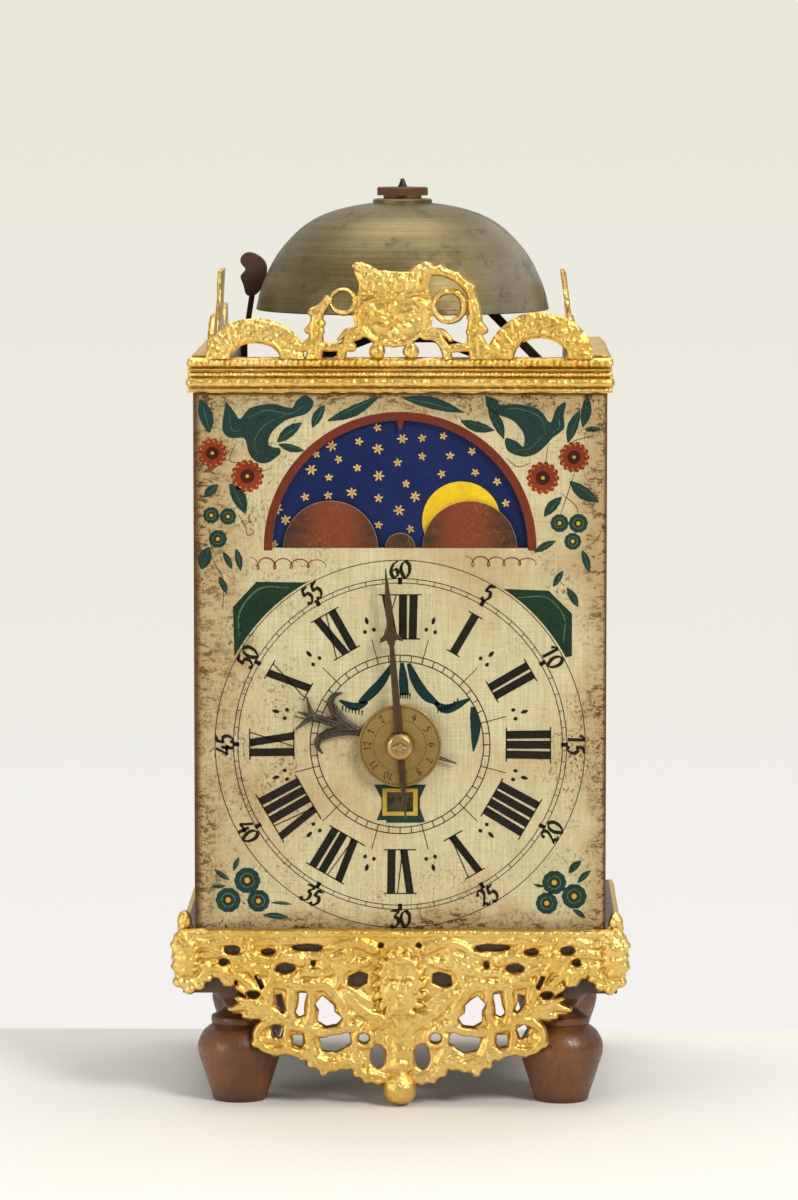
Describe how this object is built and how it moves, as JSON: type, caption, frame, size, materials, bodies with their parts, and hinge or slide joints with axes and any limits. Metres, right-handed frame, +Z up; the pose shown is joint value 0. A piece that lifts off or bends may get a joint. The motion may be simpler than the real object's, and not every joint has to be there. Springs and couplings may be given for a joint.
{
  "type": "stoelklok",
  "caption": "Dutch stool clock: arched painted dial with moon, hands and alarm disc, glazed case, gilt pierced crests and aprons, turned feet and a bell on top.",
  "frame": {"origin": "on the floor, midway between the four feet", "axes": "the dial looks along -Y, +X is to the viewer's right, +Z is up along the bell's axis"},
  "size_m": [0.2116, 0.1922, 0.4267],
  "materials": {
    "case_wood": "dark stained oak, waxed",
    "foot_wood": "turned and stained wood",
    "dial_paint": "cream paint with flowers, numerals and worn edges",
    "moon_paint": "deep blue paint with gilt stars and moons",
    "date_paint": "greenish paint with plain numbers",
    "gilt": "gilded cast lead, rubbed",
    "nail_brass": "polished brass",
    "pane_glass": "old window glass",
    "bar_iron": "dark forged iron",
    "nut_iron": "rusted iron",
    "wheel_brass": "dull brass",
    "chain_iron": "dark iron",
    "lever_iron": "brown forged iron",
    "hand_iron": "browned iron",
    "alarm_brass": "engraved brass",
    "pin_steel": "bright steel",
    "bell_bronze": "grey bell metal, turned"
  },
  "bodies": {
    "case": {"base_board": "case_wood", "top_board": "case_wood", "post_front_left": "case_wood", "post_front_right": "case_wood", "post_rear_left": "case_wood", "post_rear_right": "case_wood", "foot_front_left": "foot_wood", "foot_front_right": "foot_wood", "foot_rear_left": "foot_wood", "foot_rear_right": "foot_wood", "back_board": "case_wood", "dial_plate": "dial_paint", "front_crest": "gilt", "left_crest": "gilt", "right_crest": "gilt", "bottom_front_fret": "gilt", "bottom_left_fret": "gilt", "bottom_right_fret": "gilt", "fret_nails": "nail_brass", "door_pintles": "nail_brass", "front_bar": "bar_iron", "middle_bar": "bar_iron", "rear_bar": "bar_iron", "hammer_spring": "lever_iron", "bell": "bell_bronze", "bell_stand": "bar_iron", "bell_washer": "nut_iron", "bell_nut": "nut_iron"},
    "door_left": {"left_door": "case_wood", "left_pane": "pane_glass", "left_knob": "nail_brass"},
    "door_right": {"right_door": "case_wood", "right_pane": "pane_glass", "right_knob": "nail_brass"},
    "going_great": {"great_wheel": "wheel_brass", "going_sprocket": "chain_iron"},
    "going_second": {"second_wheel": "wheel_brass"},
    "escape": {"escape_wheel": "wheel_brass"},
    "anchor_body": {"anchor": "lever_iron"},
    "minute_body": {"minute_pipe": "wheel_brass", "minute_hand": "hand_iron", "hand_collet": "wheel_brass", "hand_pin": "pin_steel"},
    "minute_wheel_body": {"minute_wheel": "wheel_brass"},
    "hour_body": {"hour_wheel": "wheel_brass", "hour_hand": "hand_iron"},
    "alarm_setting": {"alarm_disc": "alarm_brass"},
    "moon_driver_body": {"moon_driver": "wheel_brass"},
    "moon_body": {"moon_disc": "moon_paint"},
    "date_body": {"date_disc": "date_paint"},
    "strike_great": {"strike_great_wheel": "wheel_brass", "strike_sprocket": "chain_iron"},
    "hoop_body": {"hoop_wheel": "wheel_brass"},
    "fly_body": {"fly": "wheel_brass"},
    "count_body": {"count_wheel": "wheel_brass"},
    "detent_body": {"strike_detent": "lever_iron"},
    "hammer_body": {"strike_hammer": "lever_iron"},
    "alarm_wheel_body": {"alarm_wheel": "wheel_brass"},
    "alarm_hammer_body": {"alarm_hammer": "lever_iron"}
  },
  "joints": [
    {"name": "left_door_hinge", "type": "hinge", "parent": "case", "child": "door_left", "pos_m": [-0.0922, 0.078, 0.2051], "axis": [0, 0, 1], "range_deg": [-110, 0]},
    {"name": "right_door_hinge", "type": "hinge", "parent": "case", "child": "door_right", "pos_m": [0.0922, 0.078, 0.2051], "axis": [0, 0, 1], "range_deg": [0, 110]},
    {"name": "great_spin", "type": "hinge", "parent": "case", "child": "going_great", "pos_m": [0, 0, 0.1296], "axis": [0, 1, 0], "continuous": true},
    {"name": "second_spin", "type": "hinge", "parent": "case", "child": "going_second", "pos_m": [0, 0, 0.162], "axis": [0, 1, 0], "continuous": true},
    {"name": "escape_spin", "type": "hinge", "parent": "case", "child": "escape", "pos_m": [0, 0, 0.1892], "axis": [0, 1, 0], "continuous": true},
    {"name": "anchor_swing", "type": "hinge", "parent": "case", "child": "anchor_body", "pos_m": [0, 0, 0.21748], "axis": [0, 1, 0], "range_deg": [-3, 3]},
    {"name": "minute_spin", "type": "hinge", "parent": "case", "child": "minute_body", "pos_m": [0, 0, 0.168], "axis": [0, 1, 0], "continuous": true},
    {"name": "minute_wheel_spin", "type": "hinge", "parent": "case", "child": "minute_wheel_body", "pos_m": [0.012, 0, 0.18879], "axis": [0, 1, 0], "continuous": true},
    {"name": "hour_spin", "type": "hinge", "parent": "case", "child": "hour_body", "pos_m": [0, 0, 0.168], "axis": [0, 1, 0], "continuous": true},
    {"name": "alarm_setting_spin", "type": "hinge", "parent": "hour_body", "child": "alarm_setting", "pos_m": [0, 0, 0.168], "axis": [0, 1, 0], "continuous": true},
    {"name": "moon_driver_spin", "type": "hinge", "parent": "case", "child": "moon_driver_body", "pos_m": [-0.01485, 0, 0.18285], "axis": [0, 1, 0], "continuous": true},
    {"name": "moon_spin", "type": "hinge", "parent": "case", "child": "moon_body", "pos_m": [0, 0, 0.259], "axis": [0, 1, 0], "continuous": true},
    {"name": "date_spin", "type": "hinge", "parent": "case", "child": "date_body", "pos_m": [0, 0, 0.121], "axis": [0, 1, 0], "continuous": true},
    {"name": "strike_spin", "type": "hinge", "parent": "case", "child": "strike_great", "pos_m": [0, 0, 0.1296], "axis": [0, 1, 0], "continuous": true},
    {"name": "hoop_spin", "type": "hinge", "parent": "case", "child": "hoop_body", "pos_m": [0, 0, 0.162], "axis": [0, 1, 0], "continuous": true},
    {"name": "fly_spin", "type": "hinge", "parent": "case", "child": "fly_body", "pos_m": [0, 0, 0.1892], "axis": [0, 1, 0], "continuous": true},
    {"name": "count_spin", "type": "hinge", "parent": "case", "child": "count_body", "pos_m": [0.0344, 0, 0.1296], "axis": [0, 1, 0], "continuous": true},
    {"name": "detent_lift", "type": "hinge", "parent": "case", "child": "detent_body", "pos_m": [0.04, 0, 0.178], "axis": [0, 1, 0], "range_deg": [0, 6]},
    {"name": "hammer_swing", "type": "hinge", "parent": "case", "child": "hammer_body", "pos_m": [-0.062, 0, 0.122], "axis": [0, 1, 0], "range_deg": [-1.5, 0], "stiffness_Nm_per_rad": 0.1, "springref_deg": 11.46},
    {"name": "alarm_spin", "type": "hinge", "parent": "case", "child": "alarm_wheel_body", "pos_m": [0, 0, 0.29], "axis": [0, 1, 0], "continuous": true},
    {"name": "alarm_hammer_swing", "type": "hinge", "parent": "case", "child": "alarm_hammer_body", "pos_m": [0.004, 0.014, 0.32], "axis": [0, 0, 1], "range_deg": [-10, 10]}
  ],
  "couplings": [
    {"joint": "second_spin", "follows": "great_spin", "ratio": -8},
    {"joint": "escape_spin", "follows": "great_spin", "ratio": 60},
    {"joint": "minute_spin", "follows": "great_spin", "ratio": -1},
    {"joint": "minute_wheel_spin", "follows": "great_spin", "ratio": 0.33333},
    {"joint": "hour_spin", "follows": "great_spin", "ratio": -0.083333},
    {"joint": "moon_driver_spin", "follows": "great_spin", "ratio": 0.041667},
    {"joint": "moon_spin", "follows": "great_spin", "ratio": -0.00070621},
    {"joint": "date_spin", "follows": "great_spin", "ratio": 0.0013441},
    {"joint": "hoop_spin", "follows": "strike_spin", "ratio": -8},
    {"joint": "fly_spin", "follows": "strike_spin", "ratio": 60},
    {"joint": "count_spin", "follows": "strike_spin", "ratio": -0.10256}
  ]
}
